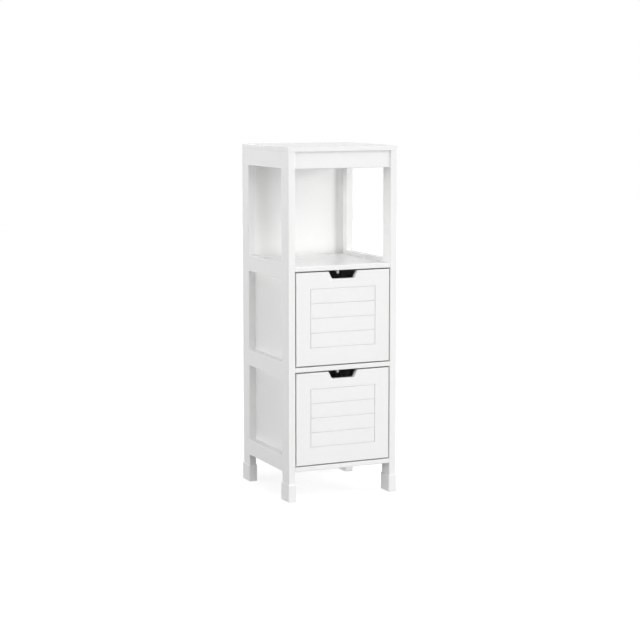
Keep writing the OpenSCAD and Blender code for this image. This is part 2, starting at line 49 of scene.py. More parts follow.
lacquer_white, worn_lacquer = (0.925, 0.925, 0.92, 1), (0.88, 0.875, 0.86, 1)
cloud_shade, edge_polish, coat_ior = 0.985, -0.05, 1.48


def give(tree, socket, value):
    """Links the socket to another node's output, or sets it to a plain value."""
    value = getattr(value, "socket", value)
    if isinstance(value, bpy.types.NodeSocket):
        tree.links.new(value, socket)
    else:
        socket.default_value = value


def add(tree, kind, inputs=None, **settings):
    """A new node with its settings made and its inputs given."""
    made = tree.nodes.new(kind)
    for key, value in settings.items():
        setattr(made, key, value)
    for key, value in (inputs or {}).items():
        give(tree, made.inputs[key], value)
    return made


def calculated(tree, operation, *values):
    """The result of one calculation with the values."""
    return add(tree, "ShaderNodeMath", dict(enumerate(values)), operation=operation).outputs[0]


def between(tree, share, low, high):
    """A number between two others: the low one where the share is 0, the high one where it is 1."""
    return add(tree, "ShaderNodeMapRange", {
        "Value": share, "To Min": low, "To Max": high}).outputs[0]


def blended(tree, share, one, two):
    """A colour between two others, by the share of the second."""
    return add(tree, "ShaderNodeMix", {
        "Factor": share, 6: one, 7: two}, data_type="RGBA").outputs[2]


def new_group(name, kind, inputs, outputs):
    """An empty node group with named sockets, its input sockets by name, and its output node."""
    tree = bpy.data.node_groups.new(name, kind)
    for label, (socket, value) in inputs.items():
        made = tree.interface.new_socket(label, in_out="INPUT", socket_type="NodeSocket" + socket)
        if value is not None:
            made.default_value = value
    for label, socket in outputs.items():
        tree.interface.new_socket(label, in_out="OUTPUT", socket_type="NodeSocket" + socket)
    return tree, tree.nodes.new("NodeGroupInput").outputs, tree.nodes.new("NodeGroupOutput")


def noise(tree, vector, size, detail, low=0.3, high=0.7):
    """Noise from 0 to 1 whose blotches are about size metres wide."""
    cloud = add(tree, "ShaderNodeTexNoise", {
        "Vector": vector, "Scale": calculated(tree, "DIVIDE", 1.0, size), "Detail": detail,
        "Roughness": 0.55})
    return add(tree, "ShaderNodeMapRange", {
        "Value": cloud.outputs[0], "From Min": low, "From Max": high}).outputs[0]


# What a sprayed or pressed coat does: a fine peel, slow ripples from rolling or sanding, and
# a cloud where the coat is a little thicker
coat, given, out = new_group("coat unevenness", "ShaderNodeTree", {
    "Peel size": ("Float", 0.0016), "Ripple size": ("Float", 0.018), "Cloud size": ("Float", 0.16)},
    {"Peel": "Float", "Ripple": "Float", "Cloud": "Float"})
spot = coat.nodes.new("ShaderNodeTexCoord").outputs["Object"]
coat.links.new(noise(coat, spot, given["Peel size"], detail=2.0), out.inputs["Peel"])
coat.links.new(noise(coat, spot, given["Ripple size"], detail=1.0), out.inputs["Ripple"])
coat.links.new(noise(coat, spot, given["Cloud size"], detail=3.0), out.inputs["Cloud"])

# Where sanding and handling thin the coat: along rounded edges, in a broken line
worn, given, out = new_group("thin coat on edges", "ShaderNodeTree", {
    "Break size": ("Float", 0.012), "Breaks": ("Float", 0.6)}, {"Mask": "Float"})
spot = worn.nodes.new("ShaderNodeTexCoord").outputs["Object"]
eased = add(worn, "ShaderNodeAttribute", attribute_name="eased").outputs["Fac"]
gaps = noise(worn, spot, given["Break size"], detail=4.0)
left = calculated(worn, "SUBTRACT", 1.0, calculated(worn, "MULTIPLY", gaps, given["Breaks"]))
worn.links.new(calculated(worn, "MULTIPLY", eased, left), out.inputs["Mask"])


def blank_material(name):
    """A new material, its node tree and that tree's shader."""
    material = bpy.data.materials.new(name)
    material.use_nodes = True
    return material, material.node_tree, material.node_tree.nodes["Principled BSDF"]


def surfaced(tree, shader, colour, roughness, height):
    """Gives the shader its colour, its roughness and its relief, which is a height in metres."""
    bump = add(tree, "ShaderNodeBump", {"Strength": 1.0, "Distance": 1.0, "Height": height})
    tree.links.new(colour, shader.inputs["Base Color"])
    tree.links.new(roughness, shader.inputs["Roughness"])
    tree.links.new(bump.outputs[0], shader.inputs["Normal"])


def coated(name, colour, thin, gloss, peel, ripple, cloud_size=0.16, peel_size=0.0016):
    """A painted, moulded or foiled surface: its colour, its colour where the coat is thin, the
    roughness from smoothest to dullest, and the heights of its peel and ripples in metres."""
    material, tree, shader = blank_material(name)
    film = add(tree, "ShaderNodeGroup", {
        "Peel size": peel_size, "Cloud size": cloud_size}, node_tree=coat).outputs
    edge = add(tree, "ShaderNodeGroup", node_tree=worn).outputs["Mask"]
    shade = [c * cloud_shade for c in colour[:3]] + [1]
    body = blended(tree, film["Cloud"], colour, shade)
    dull = between(tree, film["Ripple"], *gloss)
    low = calculated(tree, "MULTIPLY", film["Peel"], peel)
    surfaced(tree, shader, blended(tree, edge, body, thin),
             calculated(tree, "MULTIPLY_ADD", edge, edge_polish, dull),
             calculated(tree, "MULTIPLY_ADD", film["Ripple"], ripple, low))
    shader.inputs["IOR"].default_value = coat_ior
    return material


lacquer = coated("white satin lacquer", lacquer_white, worn_lacquer, gloss=(0.21, 0.265),
                 peel=4e-6, ripple=1.2e-5)


def in_scene(name, data):
    """A new object in the scene, with its mesh, lamp or camera."""
    made = bpy.data.objects.new(name, data)
    bpy.context.collection.objects.link(made)
    return made


def skinned(name, skin):
    """A new part in the scene, in the finished skin."""
    mesh = bpy.data.meshes.new(name)
    skin.to_mesh(mesh)
    skin.free()
    return in_scene(name, mesh)


def sawn(node, name):
    """A part as the saw leaves it: a clean copy of its node, in one skin of whole faces."""
    skin = bmesh.new()
    skin.from_mesh(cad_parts[node].data)
    bmesh.ops.remove_doubles(skin, verts=skin.verts, dist=2e-6)
    bmesh.ops.dissolve_limit(skin, angle_limit=0.01, verts=skin.verts, edges=skin.edges)
    return skinned(name, skin)


def settled(part):
    """The part with its modifiers made into a plain mesh."""
    shape = bpy.context.evaluated_depsgraph_get()
    mesh = bpy.data.meshes.new_from_object(
        part.evaluated_get(shape), preserve_all_data_layers=True, depsgraph=shape)
    part.modifiers.clear()
    part.data = mesh
    mesh.name = part.name
    return part


def lit_evenly(part, angle=35):
    """Smooth light round the small curves, and flat light on the faces between them."""
    part.data.shade_smooth()
    part.data.set_sharp_from_angle(angle=radians(angle))
    part.modifiers.new("even light", "WEIGHTED_NORMAL").keep_sharp = True
    return settled(part)


def sanded(part, rounding, shortest=0.006, least_turn=0.4):
    """Rounds the part's long outer edges and marks the rounded faces for the material. Edges
    that are shorter, or turn by a smaller angle in radians, stay as they are."""
    skin = bmesh.new()
    skin.from_mesh(part.data)
    weight = skin.edges.layers.float.new("bevel_weight_edge")
    for edge in skin.edges:
        long_enough = edge.is_convex and edge.calc_length() > shortest
        if long_enough and edge.calc_face_angle() > least_turn:
            edge[weight] = 1
    skin.to_mesh(part.data)
    skin.free()
    bevel = part.modifiers.new("sanding", "BEVEL")
    bevel.limit_method = "WEIGHT"
    bevel.width = rounding
    bevel.segments = 2
    bevel.use_clamp_overlap = False
    settled(part)
    mark_eased(part.data)
    return lit_evenly(part)


def mark_eased(mesh, widest=0.0006, square=0.999):
    """Narrow faces that stand square to no axis are rounded edges: 1 in the attribute eased."""
    eased = mesh.attributes.new("eased", "FLOAT", "FACE")
    for face in mesh.polygons:
        corners = [mesh.vertices[number].co for number in face.vertices]
        way_round = sum((one - two).length for one, two in zip(corners, corners[1:] + corners[:1]))
        narrow = 2 * face.area / way_round < widest
        eased.data[face.index].value = float(narrow and max(map(abs, face.normal)) < square)


def painted(part, material):
    """The part with one finish all over."""
    part.data.materials.clear()
    part.data.materials.append(material)
    return part


def fitted(part, body, node):
    """Puts the part in the plain node's place, on the body that carries it."""
    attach(part, body)
    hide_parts(node)


def lacquered(node, rounding):
    """A board of the cabinet: sawn, sanded, lacquered all over and put in its place."""
    board = sanded(sawn(node, f"{node}_lacquered"), rounding)
    fitted(painted(board, lacquer), "cabinet", node)


for end in ("front", "back"):
    for side in ("left", "right"):
        lacquered(f"post_{end}_{side}", post_rounding)


# Side rails. Eight short bars of the same board, with their edges eased like the posts' edges.
# Four of them are glued between the front and the back post of each side frame.
rail_rounding = 0.00035
for side in ("left", "right"):
    for height in ("top", "shelf", "middle", "bottom"):
        lacquered(f"rail_{height}_{side}", rail_rounding)


# Frame dowels. Fluted beech dowels, 8 mm thick and 30 mm long, two glued into each rail end
# and the post beside it. Their ends are chamfered so that they find the holes.
frame_dowel_thick, frame_dowel_long, frame_dowel_step = 0.008, 0.030, 0.022
dowel_flutes, dowel_flute_deep, dowel_chamfer = 12, 0.00022, 0.001
frame_out, frame_dowel_along, rail_middles = 0.141, 0.105, (0.093, 0.332, 0.582, 0.857)
beech_light, beech_dark, beech_fleck = (
    (0.62, 0.44, 0.27, 1), (0.46, 0.29, 0.155, 1), (0.33, 0.18, 0.09, 1))
fibre_pull, fleck_pull, beech_pore_deep = (1, 1, 0.06), (1, 0.5, 0.3), 4e-5


class Size:
    """A number inside a geometry tree, which adds and multiplies as plain numbers do."""

    def __init__(self, tree, socket):
        self.tree, self.socket = tree, socket

    def joined(self, operation, other):
        return Size(self.tree, calculated(self.tree, operation, self, other))

    def __add__(self, other):
        return self.joined("ADD", other)

    def __sub__(self, other):
        return self.joined("SUBTRACT", other)

    def __mul__(self, other):
        return self.joined("MULTIPLY", other)

    def __truediv__(self, other):
        return self.joined("DIVIDE", other)

    def __neg__(self):
        return self.joined("MULTIPLY", -1.0)


def spot_at(tree, x=0.0, y=0.0, z=0.0):
    """The socket of a place or a way inside a tree."""
    return add(tree, "ShaderNodeCombineXYZ", {0: x, 1: y, 2: z}).outputs[0]


def shape_rules(name, sizes):
    """An empty geometry tree: the tree, its named sizes, the geometry given to it, its end."""
    inputs = {"Given": ("Geometry", None)}
    inputs.update({label: ("Float", value) for label, value in sizes.items()})
    tree, given, out = new_group(name, "GeometryNodeTree", inputs, {"Made": "Geometry"})
    return tree, [Size(tree, given[label]) for label in sizes], given["Given"], out


def turned(tree, sides, outline):
    """A piece turned on the lathe, from pairs of height and radius that rise along z."""
    line = add(tree, "GeometryNodeCurvePrimitiveLine", {"End": (0, 0, 1)})
    line = add(tree, "GeometryNodeResampleCurve", {"Curve": line.outputs[0], "Count": len(outline)})
    number = tree.nodes.new("GeometryNodeInputIndex").outputs[0]
    columns = []
    for column in zip(*outline):
        pick = add(tree, "GeometryNodeIndexSwitch", data_type="FLOAT")
        while len(pick.index_switch_items) < len(column):
            pick.index_switch_items.new()
        for socket, value in zip(list(pick.inputs)[1:], column):
            give(tree, socket, value)
        tree.links.new(number, pick.inputs["Index"])
        columns.append(pick.outputs[0])
    rings = add(tree, "GeometryNodeSetPosition", {
        "Geometry": line.outputs[0], "Position": spot_at(tree, z=columns[0])})
    circle = add(tree, "GeometryNodeCurvePrimitiveCircle", {"Resolution": sides, "Radius": 1.0})
    return add(tree, "GeometryNodeCurveToMesh", {
        "Curve": rings.outputs[0], "Profile Curve": circle.outputs[0], "Scale": columns[1],
        "Fill Caps": True}).outputs[0]


def finished(tree, shape, material, out):
    """Ends the tree in the shape, with its finish on it."""
    real = add(tree, "GeometryNodeRealizeInstances", {"Geometry": shape})
    done = add(tree, "GeometryNodeSetMaterial", {"Geometry": real.outputs[0], "Material": material})
    tree.links.new(done.outputs[0], out.inputs["Made"])


def set_at_places(tree, places, shape, material, out):
    """Puts the shape at every given place, turned as the place says, in its finish."""
    turn = add(tree, "GeometryNodeInputNamedAttribute", {"Name": "turn"}, data_type="QUATERNION")
    copies = add(tree, "GeometryNodeInstanceOnPoints", {
        "Points": places, "Instance": shape, "Rotation": turn.outputs[0]})
    finished(tree, copies.outputs[0], material, out)


def made_by(part, tree, **sizes):
    """The part as the tree makes it from the part's own mesh, as a plain mesh."""
    modifier = part.modifiers.new(tree.name, "NODES")
    modifier.node_group = tree
    for socket in tree.interface.items_tree:
        if socket.in_out == "INPUT" and socket.name in sizes:
            modifier[socket.identifier] = sizes[socket.name]
    return lit_evenly(settled(part))


def made_at(name, tree, places, **sizes):
    """The tree's shape at each place, in one plain mesh. A place is a point in metres, with
    the way that the shape's own z runs there and the way that its own x runs."""
    mesh = bpy.data.meshes.new(name)
    mesh.from_pydata([point for point, _, _ in places], [], [])
    turn = mesh.attributes.new("turn", "QUATERNION", "POINT")
    for number, (_, up, ahead) in enumerate(places):
        up, ahead = Vector(up), Vector(ahead)
        columns = Matrix((ahead, up.cross(ahead), up)).transposed()
        turn.data[number].value = columns.to_quaternion()
    part = made_by(in_scene(name, mesh), tree, **sizes)
    part.data.attributes.remove(part.data.attributes["turn"])
    return part


def fastened(node, finish, tree, places, slot="zinc_plated_steel", body="cabinet", **sizes):
    """Fittings of one kind, made at their places and put on the body that carries them."""
    fitted(made_at(f"{node}_{finish}", tree, places, **sizes), body, node)


# Bare beech: streaks along the dowel, short dark flecks, and a dry open surface
beech, tree, shader = blank_material("bare beech")
along = add(tree, "ShaderNodeAttribute", attribute_name="grain").outputs["Vector"]
fibre, fleck = [
    add(tree, "ShaderNodeVectorMath", {0: along, 1: pull}, operation="MULTIPLY").outputs[0]
    for pull in (fibre_pull, fleck_pull)]
streaks = noise(tree, fibre, size=0.0007, detail=3.0)
flecks = noise(tree, fleck, size=0.0006, detail=1.0, low=0.6, high=0.75)
wood = blended(tree, flecks, blended(tree, streaks, beech_light, beech_dark), beech_fleck)
surfaced(tree, shader, wood, between(tree, streaks, 0.55, 0.72),
         calculated(tree, "MULTIPLY", streaks, -beech_pore_deep))

# A dowel along z, its middle at the origin. Its sides are pressed into rounded flutes, and
# each point keeps its place on the dowel, so that the grain runs along every one of them.
dowel, (thick, long, chamfer, flutes, deep), places, out = shape_rules("fluted dowel", {
    "Thickness": frame_dowel_thick, "Length": frame_dowel_long, "Chamfer": dowel_chamfer,
    "Flutes": dowel_flutes, "Flute depth": dowel_flute_deep})
peg = turned(dowel, 4 * dowel_flutes, [
    (-(long / 2.0), thick / 2.0 - chamfer), (chamfer - long / 2.0, thick / 2.0),
    (long / 2.0 - chamfer, thick / 2.0), (long / 2.0, thick / 2.0 - chamfer)])
where = dowel.nodes.new("GeometryNodeInputPosition").outputs[0]
parts = add(dowel, "ShaderNodeSeparateXYZ", {0: where})
angle = Size(dowel, calculated(dowel, "ARCTAN2", parts.outputs[1], parts.outputs[0]))
wave = Size(dowel, calculated(dowel, "COSINE", angle * flutes))
sunk = wave * deep / thick * 2.0 - deep / thick * 2.0
pressed = add(dowel, "ShaderNodeVectorMath", {
    0: spot_at(dowel, parts.outputs[0], parts.outputs[1]), "Scale": sunk}, operation="SCALE")
peg = add(dowel, "GeometryNodeSetPosition", {"Geometry": peg, "Offset": pressed.outputs[0]})
peg = add(dowel, "GeometryNodeStoreNamedAttribute", {
    "Geometry": peg.outputs[0], "Name": "grain", "Value": where}, data_type="FLOAT_VECTOR")
set_at_places(dowel, places, peg.outputs[0], beech, out)

sides, up, down = (-1, 1), (0, 0, 1), (0, 0, -1)
ahead, behind = (0, -1, 0), (0, 1, 0)
places = [((side * frame_out, end * frame_dowel_along, middle + step * frame_dowel_step / 2),
           behind, up)
          for side in sides for middle in rail_middles for end in sides for step in sides]
fastened("frame_dowels", "fluted", dowel, places, slot="beech")


# Foot sleeves. Four cups moulded from white plastic, pushed over the posts' feet. Their lower
# edge is rounded off, their rim is thin and soft, and the post stands on their floor.
sleeve_wall, sleeve_floor, sleeve_corner = 0.0022, 0.003, 0.0022
sleeve_foot_rounding, sleeve_rim_rounding = 0.0015, 0.0008
sleeve_inner_corner, sleeve_rim_slope = 0.0004, 0.0004
sleeve_plastic = coated("white sleeve plastic", (0.93, 0.93, 0.922, 1), (0.89, 0.887, 0.875, 1),
                        gloss=(0.34, 0.42), peel=7e-6, ripple=3e-6, cloud_size=0.03,
                        peel_size=0.0006)


def rounded_ring(wide, deep, corner, height, steps=5):
    """Points round a rectangle with round corners, anticlockwise from above."""
    ring = []
    for quarter, (x, y) in enumerate(((1, 1), (-1, 1), (-1, -1), (1, -1))):
        for step in range(steps + 1):
            turn = (quarter + step / steps) * pi / 2
            ring.append((x * (wide / 2 - corner) + corner * cos(turn),
                         y * (deep / 2 - corner) + corner * sin(turn), height))
    return ring


def moulded(name, rings, middle):
    """A closed skin over rings of points that follow each other, from the first to the last."""
    skin = bmesh.new()
    loops = [[skin.verts.new((x + middle[0], y + middle[1], z + middle[2])) for x, y, z in ring]
             for ring in rings]
    for one, two in zip(loops, loops[1:]):
        for i in range(len(one)):
            skin.faces.new((one[i - 1], one[i], two[i], two[i - 1]))
    skin.faces.new(reversed(loops[0]))
    skin.faces.new(loops[-1])
    return skinned(name, skin)


for end in ("front", "back"):
    for side in ("left", "right"):
        node = f"foot_sleeve_{end}_{side}"
        low, high = (Vector(corner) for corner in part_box(node))
        wide, deep, tall = high - low
        rings = []
        for rounding, foot, way in ((sleeve_foot_rounding, 0.0, 1),
                                    (sleeve_rim_rounding, tall, -1)):
            arc = [rounded_ring(wide - 2 * rounding * (1 - sin(turn)),
                                deep - 2 * rounding * (1 - sin(turn)),
                                sleeve_corner - rounding * (1 - sin(turn)),
                                foot + way * rounding * (1 - cos(turn)))
                   for turn in (0, pi / 8, pi / 4, 3 * pi / 8, pi / 2)]
            rings += arc[::way]
        inside = [wide - 2 * sleeve_wall, deep - 2 * sleeve_wall]
        rings.append(rounded_ring(*(size + sleeve_rim_slope for size in inside),
                                  sleeve_inner_corner + sleeve_rim_slope / 2, tall))
        for height in (tall - sleeve_rim_slope, sleeve_floor):
            rings.append(rounded_ring(*inside, sleeve_inner_corner, height))
        sleeve = moulded(f"{node}_moulded", rings, ((low + high) / 2).to_2d().to_3d())
        mark_eased(sleeve.data)
        lit_evenly(sleeve, angle=40)
        fitted(painted(sleeve, sleeve_plastic), "cabinet", node)


# Shelf, divider and bottom board. Three boards of 12 mm fibreboard, lacquered like the posts
# and flush with them in front. Dowels and cam fittings hold them to the side rails.
board_rounding = 0.00035
for name in ("shelf", "divider", "bottom"):
    lacquered(f"{name}_board", board_rounding)


# Apron. A bar of 15 mm fibreboard on edge under the top panel, lacquered like the posts and set
# a little behind their faces. A dowel and a cam bolt hold each of its ends.
lacquered("front_apron", board_rounding)


# Top panel. One lacquered board of 12 mm fibreboard that covers the posts, eased all round. It
# lies on the side frames and the apron, and dowels and cam bolts hold it to the side frames.
lacquered("top_panel", board_rounding)


# Board dowels. Thinner dowels of the same beech: one into each end of the boards and of the
# apron, and four up into the top panel. They keep each joint in line while its cams pull.
board_dowel_thick, board_dowel_long, board_dowel_out = 0.006, 0.030, 0.127
board_levels, apron_dowel_at = (0.082, 0.335, 0.588), (-0.1385, 0.847)
top_dowel_along, top_dowel_height = 0.040, 0.873
places = []
for side in sides:
    for along, level in [(0, level) for level in board_levels] + [apron_dowel_at]:
        places.append(((side * board_dowel_out, along, level), (side, 0, 0), up))
    for end in sides:
        places.append(((side * frame_out, end * top_dowel_along, top_dowel_height), up, behind))
fastened("board_dowels", "fluted", dowel, places, slot="beech", Thickness=board_dowel_thick,
         Length=board_dowel_long)


# Cam bolts. Zinc plated steel bolts, screwed into rails, posts and top panel with a coarse
# thread. A round head on a thin neck is left standing, for the cam lock to catch.
bolt_thick, bolt_screwed, bolt_pitch, cam_reach = 0.005, 0.010, 0.0016, 0.024
bolt_neck_thick, bolt_head_long, bolt_neck_long, bolt_rounding = 0.0034, 0.003, 0.006, 0.0004
joint_out, cam_along, apron_cam_at = 0.132, 0.080, (-0.137, 0.867)
top_joint_height, top_cam_out = 0.878, 0.138
zinc_bright, zinc_grey, barrel_mark_deep = (0.74, 0.75, 0.77, 1), (0.62, 0.64, 0.66, 1), 6e-6

# Bright zinc plating: cloudy where the bath left it thicker, with fine marks from the barrel
zinc, tree, shader = blank_material("bright zinc plating")
spot = tree.nodes.new("ShaderNodeTexCoord").outputs["Object"]
bath = noise(tree, spot, size=0.004, detail=3.0)
marks = noise(tree, spot, size=0.0004, detail=4.0, low=0.35, high=0.65)
surfaced(tree, shader, blended(tree, bath, zinc_bright, zinc_grey),
         between(tree, marks, 0.29, 0.42), calculated(tree, "MULTIPLY", marks, barrel_mark_deep))
shader.inputs["Metallic"].default_value = 1.0


def shifted(tree, shape, by=(0, 0, 0), turn=(0, 0, 0)):
    """The shape turned about the origin and then moved."""
    return add(tree, "GeometryNodeTransform", {
        "Geometry": shape, "Translation": by, "Rotation": turn}).outputs[0]


def thread(tree, low, high, thick, pitch, rib_share=0.11):
    """A cutting thread round z from one height to another, as far out as the thickness. Its
    rib is the given share of the thickness."""
    rib = thick * rib_share
    turns = (high - low) / pitch
    spiral = add(tree, "GeometryNodeCurveSpiral", {
        "Resolution": 12, "Rotations": turns, "Start Radius": thick / 2.0 - rib,
        "End Radius": thick / 2.0 - rib, "Height": high - low})
    spiral = add(tree, "GeometryNodeSetCurveNormal", {"Curve": spiral.outputs[0]}, mode="Z_UP")
    corner = add(tree, "GeometryNodeCurvePrimitiveCircle", {"Resolution": 3, "Radius": rib})
    wound = add(tree, "GeometryNodeCurveToMesh", {
        "Curve": spiral.outputs[0], "Profile Curve": corner.outputs[0], "Fill Caps": True})
    return shifted(tree, wound.outputs[0], spot_at(tree, z=low))


def together(tree, *shapes):
    """Several shapes as one."""
    joined = tree.nodes.new("GeometryNodeJoinGeometry")
    for shape in shapes:
        tree.links.new(shape, joined.inputs[0])
    return joined.outputs[0]


# A bolt along z, its joint plane at the origin and its thread above
bolt, (thick, screwed, reach, neck, head_long, neck_long), places, out = shape_rules("cam bolt", {
    "Thickness": bolt_thick, "Screwed length": bolt_screwed, "Reach": cam_reach,
    "Neck thickness": bolt_neck_thick, "Head length": bolt_head_long,
    "Neck length": bolt_neck_long})
body, core, slim, soft = thick / 2.0, thick * 0.37, neck / 2.0, bolt_rounding
neck_low = head_long - reach
neck_high = head_long + neck_long - reach
shank = turned(bolt, 20, [
    (-reach, body - soft * 2), (-reach + soft * 2, body), (neck_low - soft, body),
    (neck_low, slim), (neck_high, slim), (neck_high + soft, body),
    (screwed * -0.06, body), (0.0, core), (screwed * 0.85, core), (screwed, core * 0.4)])
set_at_places(bolt, places, together(
    bolt, shank, thread(bolt, screwed * 0.04, screwed * 0.88, thick, bolt_pitch)), zinc, out)

bolts, locks = [], []
for side in sides:
    out_way, lock_out = (side, 0, 0), side * (joint_out - cam_reach)
    for level in board_levels:
        for end in sides:
            bolts.append(((side * joint_out, end * cam_along, level), out_way, up))
            locks.append(((lock_out, end * cam_along, level), up, out_way))
    bolts.append(((side * joint_out, *apron_cam_at), out_way, up))
    locks.append(((lock_out, *apron_cam_at), ahead, out_way))
    for end in sides:
        over_rail = (side * top_cam_out, end * cam_along)
        bolts.append(((*over_rail, top_joint_height), up, behind))
        locks.append(((*over_rail, top_joint_height - cam_reach), out_way, up))
fastened("cam_bolts", "threaded", bolt, bolts)


# Cam locks. Drums cast from zinc, 12 mm wide, pressed into holes in the boards. A turn of
# the cross slot pulls the bolt's head tight, and an arrow shows where the bolt comes in.
lock_wide, lock_tall, lock_axis_deep = 0.012, 0.0095, 0.006
lock_rounding, slot_wide, slot_deep = 0.0004, 0.0014, 0.0018
arrow_long, arrow_deep = 0.0022, 0.0006


def bar(tree, x, y, z, middle, turn=0.0):
    """A block of three sizes round a middle, turned about z."""
    block = add(tree, "GeometryNodeMeshCube", {"Size": spot_at(tree, x, y, z)}).outputs[0]
    return shifted(tree, block, middle, (0, 0, turn))


def cut_away(tree, solid, *tools):
    """The solid without what the tools take away."""
    cut = add(tree, "GeometryNodeMeshBoolean", {"Mesh 1": solid}, operation="DIFFERENCE",
              solver="EXACT")
    for tool in tools:
        tree.links.new(tool, cut.inputs["Mesh 2"])
    return cut.outputs[0]


# A lock with its slotted face below and the bolt's axis along x through the origin
lock, (wide, tall, deep, slot, sunk), places, out = shape_rules("cam lock", {
    "Width": lock_wide, "Height": lock_tall, "Axis depth": lock_axis_deep,
    "Slot width": slot_wide, "Slot depth": slot_deep})
half, soft = wide / 2.0, lock_rounding
drum = turned(lock, 40, [(-deep, half - soft), (-deep + soft, half),
                         (tall - deep - soft, half), (tall - deep, half - soft)])
slot_long, pocket_radius, arrow_out = wide * 0.66, wide * 0.217, wide * 0.41
face_middle = spot_at(lock, z=-deep)
cuts = [bar(lock, slot_long, slot, sunk * 2.0, face_middle, turn) for turn in (0.0, pi / 2)]
pocket = turned(lock, 20, [
    (wide * -0.04, wide * 0.2), (0.0, pocket_radius), (wide, pocket_radius)])
cuts.append(shifted(lock, pocket, turn=(0, pi / 2, 0)))
arrow = add(lock, "GeometryNodeMeshCylinder", {
    "Vertices": 3, "Radius": arrow_long * 0.45, "Depth": arrow_deep}, fill_type="NGON").outputs[0]
cuts.append(shifted(lock, arrow, spot_at(lock, x=arrow_out, z=-deep), (0, 0, -pi / 2)))
set_at_places(lock, places, cut_away(lock, drum, *cuts), zinc, out)
fastened("cam_locks", "cast", lock, locks)


# Back panel. One 3 mm hardboard sheet, white on both faces and brown where it is cut. It
# slides down the grooves in the back posts, behind the boards.
sheet_rounding = 0.0002
x_way, y_way, z_way = 0, 1, 2
white_sheet = coated("white faced hardboard", (0.91, 0.91, 0.903, 1), (0.78, 0.74, 0.68, 1),
                     gloss=(0.34, 0.42), peel=5e-6, ripple=6e-6, cloud_size=0.22,
                     peel_size=0.0011)


def raw_board(name, light, dark, chip, deep):
    """Cut board: pressed chips of two colours, the size of a chip and the depth of its pits."""
    material, tree, shader = blank_material(name)
    spot = tree.nodes.new("ShaderNodeTexCoord").outputs["Object"]
    chips = add(tree, "ShaderNodeTexVoronoi", {"Vector": spot, "Scale": 1 / chip})
    tone = add(tree, "ShaderNodeSeparateColor", {"Color": chips.outputs["Color"]}).outputs[0]
    fluff = noise(tree, spot, size=chip / 3, detail=3.0)
    darkness = calculated(tree, "MULTIPLY", tone, fluff)
    surfaced(tree, shader, blended(tree, darkness, light, dark), between(tree, fluff, 0.7, 0.9),
             calculated(tree, "MULTIPLY", darkness, -deep))
    return material


def faced(part, skin, raw, ways, edge, slack=0.00005):
    """The part faced across the given ways, and raw at its cut ends, grooves and holes. What
    lies deeper than its rounded edges, and a little slack, is raw."""
    painted(part, skin)
    part.data.materials.append(raw)
    corners = [[corner[way] for corner in part.bound_box] for way in (x_way, y_way, z_way)]
    for face in part.data.polygons:
        deep = min(abs(face.center[way] - end) for way in ways
                   for end in (min(corners[way]), max(corners[way])))
        face.material_index = int(deep > edge + slack)
    return part


hardboard = raw_board("raw hardboard", light=(0.30, 0.19, 0.105, 1), dark=(0.20, 0.12, 0.065, 1),
                      chip=0.0007, deep=4e-5)


def sheet_cut(node, body, way):
    """A sheet of the hardboard, faced across one way and put in its place."""
    sheet = sanded(sawn(node, f"{node}_faced"), sheet_rounding)
    fitted(faced(sheet, white_sheet, hardboard, (way,), sheet_rounding), body, node)


sheet_cut("back_panel", "cabinet", y_way)


# Side panels. Four sheets of the same hardboard between the boards, nailed to the rails from
# inside. The holes for the nails' heads are sunk.
for level in ("upper", "lower"):
    for side in ("left", "right"):
        sheet_cut(f"side_panel_{level}_{side}", "cabinet", x_way)


# Panel nails. Sixteen short nails of zinc plated steel, with flat heads. They go through the
# side panels into the rails, from inside, and are driven flush with the sheets.
nail_thick, nail_long, nail_head_wide, nail_sunk = 0.0015, 0.012, 0.0035, 0.00005
head_neck, head_flare, rim_foot, rim_top = 0.0006, 0.00055, 0.0004, 0.0001
panel_face_out, nail_along, nail_edge = 0.129, 0.064, 0.006
drawer_levels, opening_tall = {"lower": 0.088, "upper": 0.341}, 0.241

# A nail along z, its point below and its head's face sunk a little under the origin
nail, (thick, long, head, sunk), places, out = shape_rules("flat headed nail", {
    "Thickness": nail_thick, "Length": nail_long, "Head width": nail_head_wide,
    "Sunk": nail_sunk})
pin = turned(nail, 14, [
    (-(long + sunk), thick * 0.05), (thick * 1.4 - long, thick / 2.0),
    (-sunk - head_neck, thick / 2.0), (-sunk - head_flare, head * 0.46),
    (-sunk - rim_foot, head / 2.0), (-sunk - rim_top, head / 2.0), (-sunk, head * 0.42)])
set_at_places(nail, places, pin, zinc, out)
places = [((side * panel_face_out, end * nail_along, foot + up_by), (-side, 0, 0), up)
          for side in sides for end in sides
          for foot in drawer_levels.values() for up_by in (nail_edge, opening_tall - nail_edge)]
fastened("panel_nails", "driven", nail, places)


# Stop pegs. Two turned pegs of white plastic under the boards, screwed on from below. A
# drawer's back meets its peg when the drawer is pulled out.
peg_wide, peg_tall, peg_place = 0.008, 0.012, (0.0, -0.115)
screw_thick, screw_head_wide, hole_play = 0.0035, 0.007, 0.0001
peg_plastic = coated("white peg plastic", (0.87, 0.87, 0.86, 1), (0.84, 0.838, 0.825, 1),
                     gloss=(0.34, 0.44), peel=5e-6, ripple=3e-6, cloud_size=0.02,
                     peel_size=0.0006)
peg, (wide, tall, hole, sink), places, out = shape_rules("stop peg", {
    "Width": peg_wide, "Height": peg_tall, "Hole": screw_thick + hole_play,
    "Countersink": screw_head_wide + hole_play})
tube = turned(peg, 32, [(-tall, wide * 0.45), (wide * 0.04 - tall, wide * 0.49),
                        (wide * 0.08 - tall, wide / 2.0), (0.0, wide / 2.0)])
bore = turned(peg, 32, [
    (tall * -1.1, sink / 2.0), (-tall, sink / 2.0), (sink / 2.0 - hole / 2.0 - tall, hole / 2.0),
    (tall * 0.1, hole / 2.0)])
set_at_places(peg, places, cut_away(peg, tube, bore), peg_plastic, out)
peg_feet = [foot + opening_tall for foot in drawer_levels.values()]
